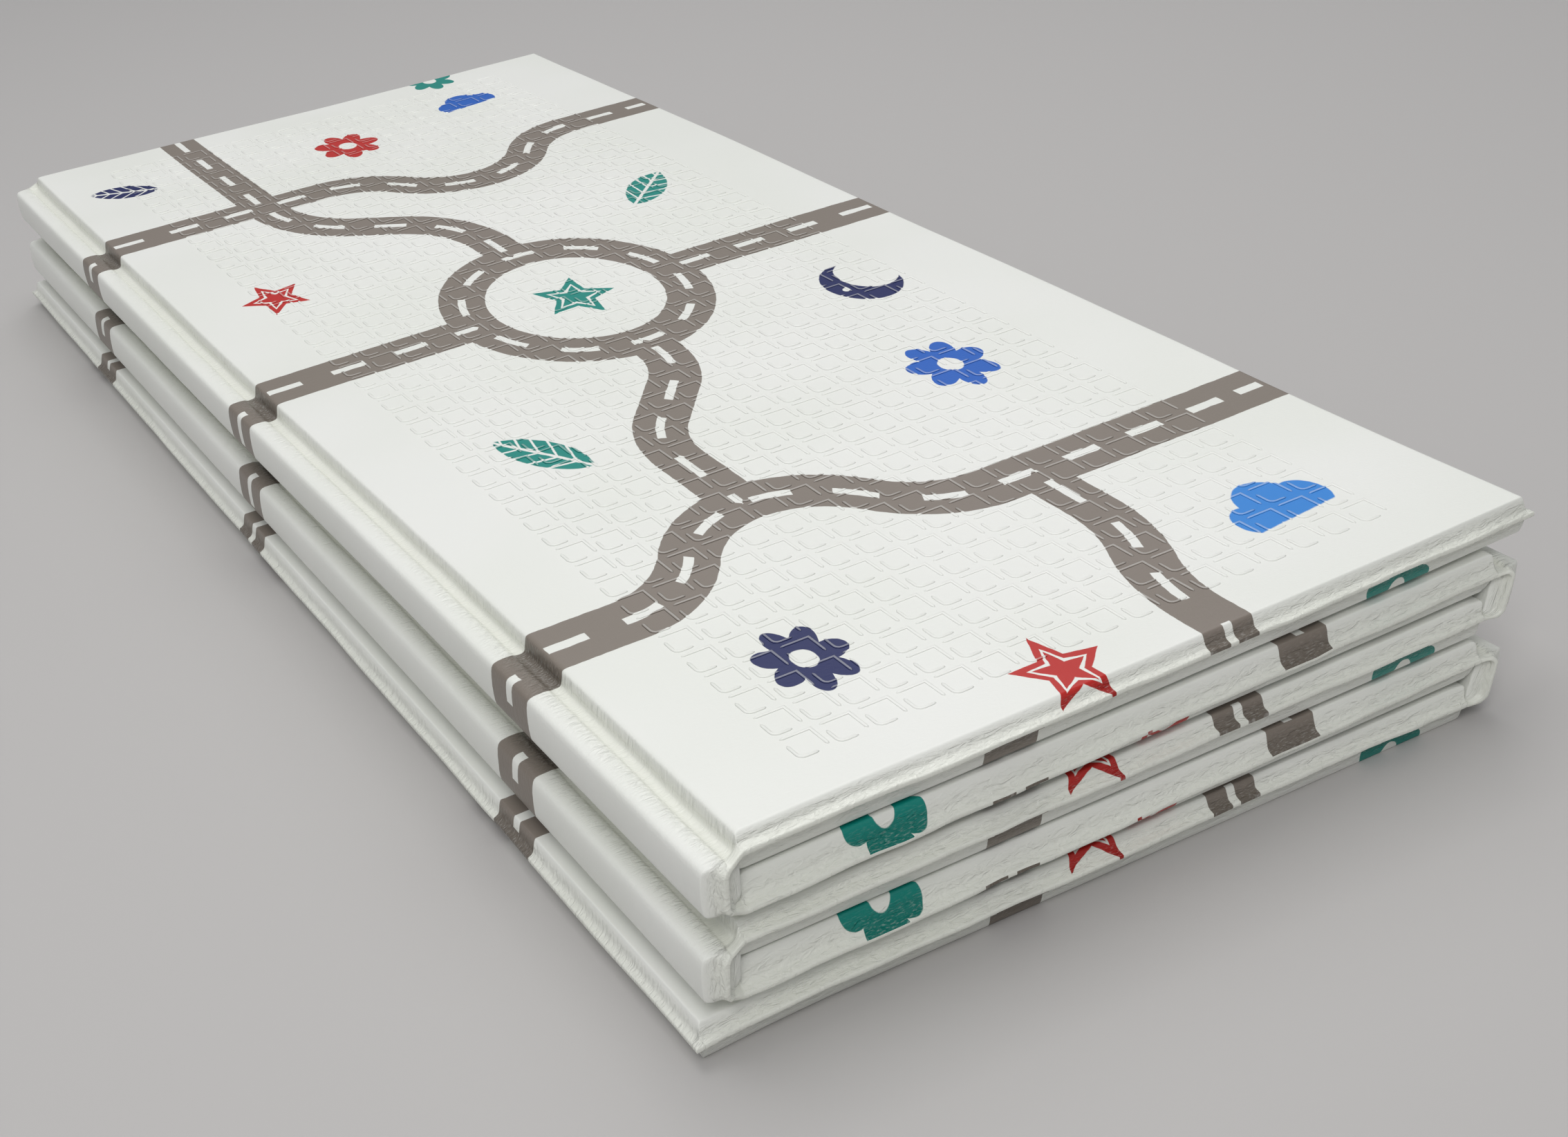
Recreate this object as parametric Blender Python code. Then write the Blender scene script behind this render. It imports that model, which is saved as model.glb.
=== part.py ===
# Foldable foam mat, folded back and forth into a stack of five panels.
# The mat is one moulded piece: foam panels joined at thin pressed webs, with a
# narrow spine strip between each pair of webs, so that the stack closes flat.
# Metres, +Z up. X is across the folds, Y is along them, and the origin is in
# the middle of the underside.

import bpy
import numpy as np

# Driving dimensions of the mat
MAT_LENGTH = 1.000          # along the fold lines, over both lips
THICKNESS = 0.0172          # of a panel
LAYER_PITCH = 0.0182        # from one folded layer to the next
PANEL_COUNT = 5

# The thin lip that runs round the whole mat at half its thickness
LIP_HALF = 0.0010
BEVEL_REACH = 0.0048        # from the lip's rim to the full thickness

# The fold: a thin web, then the spine strip standing on its side
EDGE_ROUND = 0.0030         # rounding of every pressed edge
WALL_DRAFT = 0.0010         # how far an end wall leans out at its foot
WEB_TOP = 0.0007            # web surfaces, above and below the panel's middle
WEB_BOTTOM = 0.0018
GROOVE_WIDTH = 0.0062       # the web's bare floor beside the end wall
SPINE_REACH = 0.0170        # from the end wall to the spine's outer face
SLIT = 0.0009               # between the end walls and the spine's inner face
LEDGE_RISE = 0.0005         # the spine's end stands this far above the web

# Where each fold's end walls and its spine's outer face stand across the stack,
# at the panel above the fold and at the one below it
FOLDS = (
    # side, upper wall, lower wall, upper face, lower face
    ("left", 0.0000, -0.0012, -0.0172, -0.0182),
    ("right", 0.3700, 0.3625, 0.3855, 0.3800),
    ("left", -0.0036, -0.0052, -0.0208, -0.0222),
    ("right", 0.3630, 0.3560, 0.3785, 0.3735),
)
TOP_LIP = 0.3915            # free lip of the top panel, on the right
BOTTOM_LIP = -0.0280        # free lip of the bottom panel, on the left

# How each layer lies in the stack, from the top down. The stack springs open
# towards the right, so each layer is tilted a little more than the one below it.
LAYERS = (
    # shift along the folds, turn in plan, tilt up to the right (radians)
    (0.0000, 0.0000, 0.0230),
    (-0.0006, -0.0020, 0.0168),
    (-0.0008, -0.0040, 0.0114),
    (-0.0004, -0.0050, 0.0058),
    (0.0002, -0.0060, 0.0000),
)
FLARE = 0.0022              # the lip stands this much further out at the folds
FLARE_FADE = 0.012          # and sinks back over this length
SWELL = 0.0012              # unevenness of the top, fading to none underneath

HALF = THICKNESS / 2.0
SPINE_MIDDLE = (SPINE_REACH + SLIT) / 2.0
FOLD_MIDDLE = -LAYER_PITCH / 2.0

# Share of the bevel's reach, and share of the half thickness reached there
BEVEL_STEPS = (
    (0.00, LIP_HALF / HALF),
    (0.16, 0.15),
    (0.26, 0.38),
    (0.54, 0.78),
    (0.75, 0.94),
    (1.00, 1.00),
)
INNER_STATIONS = (0.10, 0.28, 0.50, 0.72, 0.90)   # shares of the length
PANEL_ROWS = (0.20, 0.50, 0.80)                   # shares of a panel's width


def upper_half_fold():
    """Rows of one fold's upper half: middle, outer and inner point of each.

    Each point is (distance out from the end wall, height over the panel's middle).
    """
    third = EDGE_ROUND * 0.3
    ledge = WEB_TOP + LEDGE_RISE
    reach = SPINE_REACH
    return [
        ((-EDGE_ROUND, 0.0), (-EDGE_ROUND, HALF), (-EDGE_ROUND, -HALF)),
        ((-third, 0.0), (-third, HALF - third), (-third, third - HALF)),
        ((0.0, 0.0), (0.0, HALF - EDGE_ROUND), (0.0, EDGE_ROUND - HALF)),
        ((0.0006, 0.0), (WALL_DRAFT, WEB_TOP + 0.0003), (0.0, -WEB_BOTTOM - 0.0007)),
        ((0.0045, -0.0002), (GROOVE_WIDTH, WEB_TOP - 0.0001), (SLIT / 2, -WEB_BOTTOM)),
        ((0.0070, -0.0006), (GROOVE_WIDTH + 0.0014, ledge), (SLIT, -WEB_BOTTOM - 0.0007)),
        ((SPINE_MIDDLE, -0.0022), (reach - EDGE_ROUND, ledge), (SLIT, -0.0036)),
        ((SPINE_MIDDLE, -0.0032), (reach - third, ledge - third), (SLIT, -0.0046)),
        ((SPINE_MIDDLE, -0.0046), (reach, ledge - EDGE_ROUND), (SLIT, -0.0058)),
    ]


def mirrored(point):
    """The same point in the fold's lower half."""
    return (point[0], 2.0 * FOLD_MIDDLE - point[1])


def whole_fold():
    upper = upper_half_fold()
    bulge = 0.0003
    middle = (
        (SPINE_MIDDLE, FOLD_MIDDLE),
        (SPINE_REACH + bulge, FOLD_MIDDLE),
        (SLIT, FOLD_MIDDLE),
    )
    lower = [tuple(mirrored(point) for point in row) for row in reversed(upper)]
    return upper + [middle] + lower


def layer_height(layer):
    """Height of a layer's middle; layer 0 is the top one."""
    return HALF + (PANEL_COUNT - 1 - layer) * LAYER_PITCH


def drop_share(v):
    """How far down a fold a point is, from 0 at the upper panel to 1."""
    return min(max(-v / LAYER_PITCH, 0.0), 1.0)


def fold_place(fold, v):
    """The end wall's place and the spine's reach at a height in the fold."""
    side, upper_wall, lower_wall, upper_face, lower_face = FOLDS[fold]
    share = drop_share(v)
    wall = upper_wall + (lower_wall - upper_wall) * share
    face = upper_face + (lower_face - upper_face) * share
    return wall, abs(face - wall)


def fold_rows(fold):
    """One fold's rows across the stack: middle, side A, side B, layer and flare."""
    side = FOLDS[fold][0]
    outward = -1.0 if side == "left" else 1.0
    height = layer_height(fold)
    rows = []
    for row in whole_fold():
        placed = []
        for u, v in row:
            wall, reach = fold_place(fold, v)
            stretch = reach / SPINE_REACH if u > 0.0 else 1.0
            placed.append((wall + outward * u * stretch, height + v))
        if side == "right":
            placed[1], placed[2] = placed[2], placed[1]
        flare = FLARE * min(max(row[0][0] / SPINE_MIDDLE, 0.0), 1.0)
        depth = fold + drop_share(row[0][1])
        rows.append((placed[0], placed[1], placed[2], depth, flare))
    return rows


def panel_row(layer, x, half):
    """A row across a flat panel; side A is on top in every other layer."""
    height = layer_height(layer)
    up = half if layer % 2 == 0 else -half
    return ((x, height), (x, height + up), (x, height - up), float(layer), 0.0)


def free_edge_rows(layer, lip, inward):
    """From the free lip to the full thickness."""
    rows = []
    for reach, share in BEVEL_STEPS:
        x = lip + inward * reach * BEVEL_REACH
        rows.append(panel_row(layer, x, share * HALF))
    return rows


def section_rows():
    """The whole mat's section, from the top panel's free lip to the bottom's."""
    rows = free_edge_rows(0, TOP_LIP, -1.0)
    for fold, (side, upper, *rest) in enumerate(FOLDS):
        start = rows[-1][0][0]
        inside = EDGE_ROUND if side == "left" else -EDGE_ROUND
        for share in PANEL_ROWS:
            x = start + (upper + inside - start) * share
            rows.append(panel_row(fold, x, HALF))
        rows.extend(fold_rows(fold))
    start = rows[-1][0][0]
    edge = free_edge_rows(PANEL_COUNT - 1, BOTTOM_LIP, 1.0)
    finish = edge[-1][0][0]
    for share in PANEL_ROWS:
        rows.append(panel_row(PANEL_COUNT - 1, start + (finish - start) * share, HALF))
    rows.extend(reversed(edge))
    return rows


def stations():
    """Places along the length, each with the most half thickness there."""
    near = [(reach * BEVEL_REACH, share * HALF) for reach, share in BEVEL_STEPS]
    inner = [(share * MAT_LENGTH, HALF) for share in INNER_STATIONS]
    far = [(MAT_LENGTH - y, half) for y, half in reversed(near)]
    return near + inner + far


def clipped(middle, point, most):
    """The point drawn in towards the middle line, to at most this distance."""
    offset = point - middle
    length = np.linalg.norm(offset)
    if length <= most:
        return point
    return middle + offset * (most / length)


def layer_pose(depth):
    """Shift, turn and tilt of the stack at a depth counted in layers."""
    numbers = range(PANEL_COUNT)
    return [np.interp(depth, numbers, column) for column in zip(*LAYERS)]


def settled(x, y, z, depth, flare):
    """A point of the stack as it really lies, a little askew and uneven."""
    shift, turn, tilt = layer_pose(depth)
    near = np.exp(-y / FLARE_FADE)
    far = np.exp((y - MAT_LENGTH) / FLARE_FADE)
    total = PANEL_COUNT * LAYER_PITCH
    swell = np.cos(9.0 * x + 0.6) * np.cos(7.0 * y - 1.1) - 0.4 * np.sin(15.0 * y)
    return (
        x - turn * y,
        y + shift + turn * x + flare * (far - near),
        z + tilt * max(x, 0.0) + SWELL * swell * z / total,
    )


def mat_points():
    """Points of side A and side B, one grid of stations by rows for each."""
    rows = section_rows()
    sides = ([], [])
    for y, most in stations():
        for side in (0, 1):
            line = []
            for row in rows:
                middle = np.array(row[0])
                x, z = clipped(middle, np.array(row[1 + side]), most)
                line.append(settled(x, y, z, row[3], row[4]))
            sides[side].append(line)
    points = np.array(sides)
    low = points.reshape(-1, 3).min(axis=0)
    high = points.reshape(-1, 3).max(axis=0)
    middle = (low + high) / 2.0
    return points - np.array((middle[0], middle[1], low[2]))


def grid_faces(rows, columns, first, flip):
    """Quads of one side's grid of points."""
    faces = []
    for r in range(rows - 1):
        for c in range(columns - 1):
            a = first + r * columns + c
            quad = (a, a + 1, a + columns + 1, a + columns)
            faces.append(quad[::-1] if flip else quad)
    return faces


def rim_faces(loop_a, loop_b):
    """Quads that close the gap between the rims of the two sides."""
    faces = []
    for n in range(len(loop_a)):
        after = (n + 1) % len(loop_a)
        faces.append((loop_a[n], loop_a[after], loop_b[after], loop_b[n]))
    return faces


def rim_loop(rows, columns, first):
    """Indices once round the rim of a grid."""
    bottom = [first + c for c in range(columns)]
    right = [first + r * columns + columns - 1 for r in range(1, rows)]
    top = [first + (rows - 1) * columns + c for c in range(columns - 2, -1, -1)]
    left = [first + r * columns for r in range(rows - 2, 0, -1)]
    return bottom + right + top + left


def mat_mesh(name):
    points = mat_points()
    rows, columns = points.shape[1], points.shape[2]
    count = rows * columns
    faces = grid_faces(rows, columns, 0, True)
    faces += grid_faces(rows, columns, count, False)
    faces += rim_faces(rim_loop(rows, columns, 0), rim_loop(rows, columns, count))
    mesh = bpy.data.meshes.new(name)
    mesh.from_pydata(points.reshape(-1, 3).tolist(), [], faces)
    mesh.validate()
    mesh.shade_smooth()
    mesh.set_sharp_from_angle(angle=0.6)
    return mesh


def foam_film():
    """Ivory printed film on foam."""
    material = bpy.data.materials.new("foam_film")
    material.use_nodes = True
    shader = material.node_tree.nodes["Principled BSDF"]
    shader.inputs["Base Color"].default_value = (0.80, 0.83, 0.77, 1.0)
    shader.inputs["Roughness"].default_value = 0.42
    shader.inputs["Metallic"].default_value = 0.0
    return material


def clear_scene():
    for thing in list(bpy.context.scene.objects):
        bpy.data.objects.remove(thing, do_unlink=True)


def build():
    clear_scene()
    group = bpy.data.collections.new("foldable_foam_mat")
    bpy.context.scene.collection.children.link(group)
    mat = bpy.data.objects.new("folding_mat", mat_mesh("folding_mat"))
    mat.data.materials.append(foam_film())
    group.objects.link(mat)


build()
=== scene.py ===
# %% [markdown]
# # A foam play mat, folded into a stack
# The real thing is one slab of closed-cell foam, about two metres by one, with a
# printed film welded to both faces. Hot tools press thin hinge grooves across it,
# so that it folds back and forth into five layers.
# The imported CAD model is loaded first. It fixes the size and the place, and the
# pieces made here give it its finish.

# %% Load the frame
import math

import bpy
import numpy as np
from mathutils import Matrix, Vector, noise


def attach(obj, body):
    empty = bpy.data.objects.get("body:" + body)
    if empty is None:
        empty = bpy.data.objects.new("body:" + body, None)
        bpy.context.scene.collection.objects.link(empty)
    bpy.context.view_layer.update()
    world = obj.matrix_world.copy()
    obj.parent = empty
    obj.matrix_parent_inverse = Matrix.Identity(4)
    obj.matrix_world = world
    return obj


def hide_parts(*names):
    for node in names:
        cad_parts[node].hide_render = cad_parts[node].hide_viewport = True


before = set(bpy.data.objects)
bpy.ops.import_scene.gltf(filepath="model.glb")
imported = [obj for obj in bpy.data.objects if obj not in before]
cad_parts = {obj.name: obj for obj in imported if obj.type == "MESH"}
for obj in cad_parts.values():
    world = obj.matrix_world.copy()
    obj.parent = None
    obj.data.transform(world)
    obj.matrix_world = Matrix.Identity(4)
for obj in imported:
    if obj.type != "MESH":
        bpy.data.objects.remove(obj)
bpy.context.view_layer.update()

# %% [markdown]
# ## The size of the mat and of its folds
# These are the values that the CAD part is drawn from, repeated here because the
# visible mat follows the same section. Across the stack the section runs from the
# top panel's free lip, through four folds, to the bottom panel's free lip.
# A fold has a thin web, then a narrow spine strip that stands on its side, then a
# second web. That is why the stack can close flat without crushing the foam.

# %% Sizes
MAT_LENGTH = 1.000          # along the fold lines, over both lips
THICKNESS = 0.0172          # of a panel
LAYER_PITCH = 0.0182        # from one folded layer to the next
PANEL_COUNT = 5
LIP_HALF = 0.0010           # half the thickness of the lip round the mat
BEVEL_REACH = 0.0048        # from the lip's rim to the full thickness
EDGE_ROUND = 0.0030
WALL_DRAFT = 0.0010
WEB_TOP = 0.0007
WEB_BOTTOM = 0.0018
GROOVE_WIDTH = 0.0062
SPINE_REACH = 0.0170
SLIT = 0.0009
LEDGE_RISE = 0.0008
FOLDS = (
    # side, upper wall, lower wall, upper face, lower face
    ("left", 0.0000, -0.0012, -0.0172, -0.0182),
    ("right", 0.3700, 0.3625, 0.3855, 0.3800),
    ("left", -0.0036, -0.0052, -0.0208, -0.0222),
    ("right", 0.3630, 0.3560, 0.3785, 0.3735),
)
TOP_LIP = 0.3915
BOTTOM_LIP = -0.0280
LAYERS = (
    # shift along the folds, turn in plan, tilt up to the right (radians)
    (0.0000, 0.0000, 0.0230),
    (-0.0006, -0.0020, 0.0168),
    (-0.0008, -0.0040, 0.0114),
    (-0.0004, -0.0050, 0.0058),
    (0.0002, -0.0060, 0.0000),
)
FLARE = 0.0022              # how far a spine strip's ends stand out
FLARE_FADE = 0.012
SWELL = 0.0012              # height of the stack's slow waves
HALF = THICKNESS / 2.0
STACK_HEIGHT = PANEL_COUNT * LAYER_PITCH
SPINE_MIDDLE = (SPINE_REACH + SLIT) / 2.0
FOLD_MIDDLE = -LAYER_PITCH / 2.0
BEVEL_STEPS = (
    # share of the bevel's reach, share of the half thickness there
    (0.00, 0.100),
    (0.05, 1.1 * LIP_HALF / HALF),
    (0.36, 0.190),
    (0.58, 0.285),
    (0.66, 0.440),
    (0.75, 0.700),
    (0.86, 0.900),
    (0.94, 0.975),
    (1.00, 1.000),
)

# %% [markdown]
# ## The section, row by row
# The mat could be a thin sheet with Solidify, but its thickness changes at every
# web and ledge. So each row of the section has three points: one in the middle of
# the foam, one on side A and one on side B. Side A is the top of the first panel.
# Rows beside an edge lie close together, so that subdivision rounds that edge a
# little and leaves the flat part flat. Each row also says how hard the film is
# pressed there, from 0 on a plain panel to 1 in a web, which the finish uses.

# %% One fold
PRESSED_ROWS = (0.0, 0.05, 0.2, 0.4, 0.9, 1.0, 1.0, 1.0, 0.8, 0.4, 0.12, 0.1, 0.08)


def upper_half_fold():
    """Rows of a fold's upper half: middle, outer and inner point of each.

    Points are in metres, outwards from the end wall and up from the layer's middle.
    """
    third = EDGE_ROUND * 0.3
    ledge = WEB_TOP + LEDGE_RISE
    reach = SPINE_REACH
    draft = WALL_DRAFT
    under = -WEB_BOTTOM
    groove = GROOVE_WIDTH
    return [
        ((-EDGE_ROUND, 0.0), (-EDGE_ROUND, HALF), (-EDGE_ROUND, -HALF)),
        ((-0.0013, 0.0), (-0.0013, HALF - 0.0001), (-0.0013, 0.0005 - HALF)),
        ((-0.0003, 0.0), (-0.0002, HALF - 0.0006), (-0.0003, 0.0015 - HALF)),
        ((0.0, 0.0), (0.0001, HALF - 0.0020), (0.0, EDGE_ROUND - HALF)),
        ((0.0002, 0.0), (draft - 0.0002, WEB_TOP + 0.0022), (0.0, under - 0.0020)),
        ((0.0006, 0.0), (draft + 0.0001, WEB_TOP + 0.0004), (0.0001, under - 0.0006)),
        ((0.0022, -0.0001), (draft + 0.0016, WEB_TOP), (0.0003, under - 0.0001)),
        ((0.0045, -0.0002), (groove - 0.0005, WEB_TOP - 0.0001), (SLIT / 2, under)),
        ((0.0062, -0.0004), (groove + 0.0006, ledge - 0.0001), (SLIT * 0.8, under - 0.0003)),
        ((0.0072, -0.0008), (groove + 0.0020, ledge + 0.0001), (SLIT, under - 0.0009)),
        ((SPINE_MIDDLE, -0.0022), (reach - EDGE_ROUND, ledge), (SLIT, -0.0036)),
        ((SPINE_MIDDLE, -0.0032), (reach - third, ledge - third), (SLIT, -0.0046)),
        ((SPINE_MIDDLE, -0.0046), (reach, ledge - EDGE_ROUND), (SLIT, -0.0058)),
    ]


def mirrored(point):
    """The same point in the fold's lower half."""
    return (point[0], 2.0 * FOLD_MIDDLE - point[1])


def whole_fold():
    """Rows of a whole fold, each with how hard its film is pressed."""
    upper = upper_half_fold()
    middle = (
        (SPINE_MIDDLE, FOLD_MIDDLE),
        (SPINE_REACH + 0.0003, FOLD_MIDDLE),
        (SLIT, FOLD_MIDDLE),
    )
    lower = [tuple(mirrored(point) for point in row) for row in reversed(upper)]
    presses = PRESSED_ROWS + (0.08,) + PRESSED_ROWS[::-1]
    return list(zip(upper + [middle] + lower, presses))


def layer_height(layer):
    """Height of a layer's middle; layer 0 is the top one."""
    return HALF + (PANEL_COUNT - 1 - layer) * LAYER_PITCH


def held(value):
    """A value kept between 0 and 1."""
    return min(max(value, 0.0), 1.0)


def drop_share(v):
    """How far down a fold a point is, from 0 at the upper panel to 1."""
    return held(-v / LAYER_PITCH)


def fold_place(fold, v):
    """The end wall's place and the spine's reach at a height in the fold."""
    upper_wall, lower_wall, upper_face, lower_face = FOLDS[fold][1:]
    share = drop_share(v)
    wall = upper_wall + (lower_wall - upper_wall) * share
    face = upper_face + (lower_face - upper_face) * share
    return wall, abs(face - wall)


def fold_rows(fold):
    """One fold's rows across the stack, in order from the upper panel down."""
    side = FOLDS[fold][0]
    outward = -1.0 if side == "left" else 1.0
    height = layer_height(fold)
    rows = []
    for row, press in whole_fold():
        placed = []
        for u, v in row:
            wall, reach = fold_place(fold, v)
            stretch = reach / SPINE_REACH if u > 0.0 else 1.0
            placed.append((wall + outward * u * stretch, height + v))
        if side == "right":
            placed[1], placed[2] = placed[2], placed[1]
        flare = FLARE * held(row[0][0] / SPINE_MIDDLE)
        depth = fold + drop_share(row[0][1])
        rows.append((*placed, depth, flare, press))
    return rows


# %% The panels between the folds
ROW_SPACING = 0.0230        # of the cage across a panel
SUPPORT = (0.0012, 0.0045)  # rows that keep an edge tight


def panel_row(layer, x, half):
    """A row across a flat panel; side A is on top in every other layer."""
    height = layer_height(layer)
    up = half if layer % 2 == 0 else -half
    press = 1.0 - half / HALF
    points = ((x, height), (x, height + up), (x, height - up))
    return (*points, float(layer), 0.0, press)


def free_edge_rows(layer, lip, inward):
    """From the free lip to the full thickness."""
    rows = []
    for reach, share in BEVEL_STEPS:
        x = lip + inward * reach * BEVEL_REACH
        rows.append(panel_row(layer, x, share * HALF))
    return rows


def spread(start, end, spacing):
    """Places between two edges: close to each edge, then evenly spaced."""
    way = 1.0 if end > start else -1.0
    first = start + way * SUPPORT[1]
    last = end - way * SUPPORT[1]
    steps = max(int(abs(last - first) / spacing), 1)
    inner = [float(x) for x in np.linspace(first, last, steps + 1)]
    return [start + way * SUPPORT[0], *inner, end - way * SUPPORT[0]]


def section_rows():
    """The whole section, from the top panel's free lip to the bottom's."""
    rows = free_edge_rows(0, TOP_LIP, -1.0)
    for fold, (side, upper, *rest) in enumerate(FOLDS):
        start = rows[-1][0][0]
        inside = EDGE_ROUND if side == "left" else -EDGE_ROUND
        for x in spread(start, upper + inside, ROW_SPACING):
            rows.append(panel_row(fold, x, HALF))
        rows.extend(fold_rows(fold))
    start = rows[-1][0][0]
    last = PANEL_COUNT - 1
    edge = free_edge_rows(last, BOTTOM_LIP, 1.0)
    for x in spread(start, edge[-1][0][0], ROW_SPACING):
        rows.append(panel_row(last, x, HALF))
    rows.extend(reversed(edge))
    return rows


section = section_rows()
print("rows across the section:", len(section))

# %% [markdown]
# ## How far the print has run at each row
# The picture is printed on the film before the mat is pressed, so it is measured
# along the film and not across the room. Each side's own distance is scaled so
# that one picture repeats from fold to fold. The film stretches down a groove's
# wall, so a wall adds only a small part of its height.

# %% Print distance on each side
PRINT_REPEAT = 0.400        # one printed picture across the mat
WALL_SHARE = 0.35           # of a groove wall's height that the print runs


def film_steps(side):
    """Distance from each row to the next on one side of the film."""
    places = np.array([row[1 + side] for row in section])
    presses = np.array([row[5] for row in section])
    steps = np.diff(places, axis=0)
    wall = np.abs(presses[1:] - presses[:-1]) > 0.3
    upright = np.abs(steps[:, 1]) * np.where(wall, WALL_SHARE, 1.0)
    return np.hypot(steps[:, 0], upright)


def fold_middles():
    """Number of the row in the middle of each fold."""
    return [n for n, row in enumerate(section) if abs(row[3] % 1.0 - 0.5) < 1e-6]


def print_distance(side):
    """How far along the print each row lies: 0 at the first fold's middle."""
    run = np.concatenate(([0.0], np.cumsum(film_steps(side))))
    marks = fold_middles()
    known = [run[n] for n in marks]
    targets = [-PRINT_REPEAT * n for n in range(len(marks))]
    inner = np.interp(run, known, targets)
    before = known[0] - run
    after = targets[-1] + known[-1] - run
    return np.where(run < known[0], before, np.where(run > known[-1], after, inner))


print_runs = [print_distance(side) for side in (0, 1)]

# %% [markdown]
# ## The cage, and the mat made from it
# The section is repeated at stations along the mat. At each end the thickness runs
# down to the thin lip, which every row is drawn in to. A real end lip isn't quite
# at half the thickness: it leans towards side A, most at the left, where the near
# bevel is also the longest. Side A and side B are two grids of points with their
# rims joined, so the mat is one closed body. One level of subdivision rounds it,
# and the result is kept as a plain mesh.

# %% Stations and settled points
STATION_SPACING = 0.030         # of the cage along the mat
LIP_LEAN = (0.0034, 0.0008)     # of an end lip towards side A, at the left and right
NEAR_REACH = (0.0080, 0.0042)   # of the near end's bevel, at the left and right
LEAN_FADE = 0.05                # no lean at a free long edge, all of it this far in


def stations():
    """Places along the length, each with the most half thickness there."""
    near = [(reach * BEVEL_REACH, share * HALF) for reach, share in BEVEL_STEPS]
    far = [(MAT_LENGTH - y, half) for y, half in reversed(near)]
    inner = spread(near[-1][0], far[0][0], STATION_SPACING)
    return near + [(y, HALF) for y in inner] + far


def clipped(middle, point, most):
    """The point drawn in towards the middle line, to at most this distance."""
    offset = point - middle
    length = np.linalg.norm(offset)
    if length <= most:
        return point
    return middle + offset * (most / length)


def layer_pose(depth):
    """Shift, turn and tilt of the stack at a depth counted in layers."""
    numbers = range(PANEL_COUNT)
    return [np.interp(depth, numbers, column) for column in zip(*LAYERS)]


def settled(x, y, z, depth, flare):
    """A point of the stack as it really lies, a little askew and uneven.

    The swell is a few slow waves, with their turn for each metre in radians.
    """
    shift, turn, tilt = layer_pose(depth)
    near = np.exp(-y / FLARE_FADE)
    far = np.exp((y - MAT_LENGTH) / FLARE_FADE)
    swell = np.cos(9.0 * x + 0.6) * np.cos(7.0 * y - 1.1) - 0.4 * np.sin(15.0 * y)
    return (
        x - turn * y,
        y + shift + turn * x + flare * (far - near),
        z + tilt * max(x, 0.0) + SWELL * swell * z / STACK_HEIGHT,
    )


def end_lean(row):
    """How far a row's end lip leans to side A, and its near bevel's reach."""
    x, depth = row[0][0], row[3]
    right = held(x / FOLDS[1][1])
    free = TOP_LIP - x if depth < 0.5 else x - BOTTOM_LIP
    weight = 1.0 - row[4] / FLARE
    if depth in (0.0, PANEL_COUNT - 1.0):
        weight *= held(free / LEAN_FADE)
    lean = LIP_LEAN[0] + (LIP_LEAN[1] - LIP_LEAN[0]) * right
    reach = NEAR_REACH[0] + (NEAR_REACH[1] - NEAR_REACH[0]) * right
    return lean * weight, (reach - BEVEL_REACH) * weight


def drawn_back(y, more):
    """A place along the mat, with the near bevel's reach made longer."""
    share = min(y / BEVEL_REACH, 1.0)
    return y + more * share * np.exp(-max(y - BEVEL_REACH, 0.0) / FLARE_FADE)


def cage_points():
    """Points and pressed values of both sides, as grids of stations by rows."""
    points = []
    presses = []
    for side in (0, 1):
        for y, most in stations():
            for row in section:
                middle, point = np.array(row[0]), np.array(row[1 + side])
                across = np.array(row[1]) - np.array(row[2])
                lean, more = end_lean(row)
                press = 1.0 - most / HALF
                lift = across / np.linalg.norm(across) * lean * press
                x, z = clipped(middle, point, most) + lift
                points.append(settled(x, drawn_back(y, more), z, row[3], row[4]))
                presses.append(max(row[5], press))
    return np.array(points), np.array(presses)


cage, cage_press = cage_points()
low, high = cage.min(axis=0), cage.max(axis=0)
CENTRE = np.array(((low[0] + high[0]) / 2.0, (low[1] + high[1]) / 2.0, low[2]))
cage -= CENTRE
STATIONS = len(stations())
ROWS = len(section)
print("cage:", STATIONS, "stations by", ROWS, "rows, size", (high - low).round(4))


# %% Faces and the print's own map
def grid_faces(first, flip):
    """Quads of one side's grid of points."""
    faces = []
    for r in range(STATIONS - 1):
        for c in range(ROWS - 1):
            a = first + r * ROWS + c
            quad = (a, a + 1, a + ROWS + 1, a + ROWS)
            faces.append(quad[::-1] if flip else quad)
    return faces


def rim_loop(first):
    """Indices once round the rim of one side's grid."""
    bottom = [first + c for c in range(ROWS)]
    right = [first + r * ROWS + ROWS - 1 for r in range(1, STATIONS)]
    top = [first + (STATIONS - 1) * ROWS + c for c in range(ROWS - 2, -1, -1)]
    left = [first + r * ROWS for r in range(STATIONS - 2, 0, -1)]
    return bottom + right + top + left


def rim_faces(loop_a, loop_b):
    """Quads that close the gap between the rims of the two sides."""
    faces = []
    for n in range(len(loop_a)):
        after = (n + 1) % len(loop_a)
        faces.append((loop_a[n], loop_a[after], loop_b[after], loop_b[n]))
    return faces


def film_along():
    """How far along the film each station lies, measured down both end bevels."""
    places = np.array(stations())
    steps = np.hypot(*np.diff(places, axis=0).T)
    run = np.concatenate(([0.0], np.cumsum(steps)))
    return run - (run[-1] - MAT_LENGTH) / 2.0


def print_place(vertex, side):
    """Where a cage point lies on the print, in metres.

    Side B carries the same picture turned half round, end for end.
    """
    number = vertex % (STATIONS * ROWS)
    station, row = divmod(number, ROWS)
    along = along_film[station]
    return (print_runs[side][row], along if side == 0 else MAT_LENGTH - along)


along_film = film_along()
count = STATIONS * ROWS
faces = grid_faces(0, True) + grid_faces(count, False)
face_sides = [0] * (len(faces) // 2) + [1] * (len(faces) // 2)
rim = rim_faces(rim_loop(0), rim_loop(count))
face_sides += [0] * len(rim)
faces += rim


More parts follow.
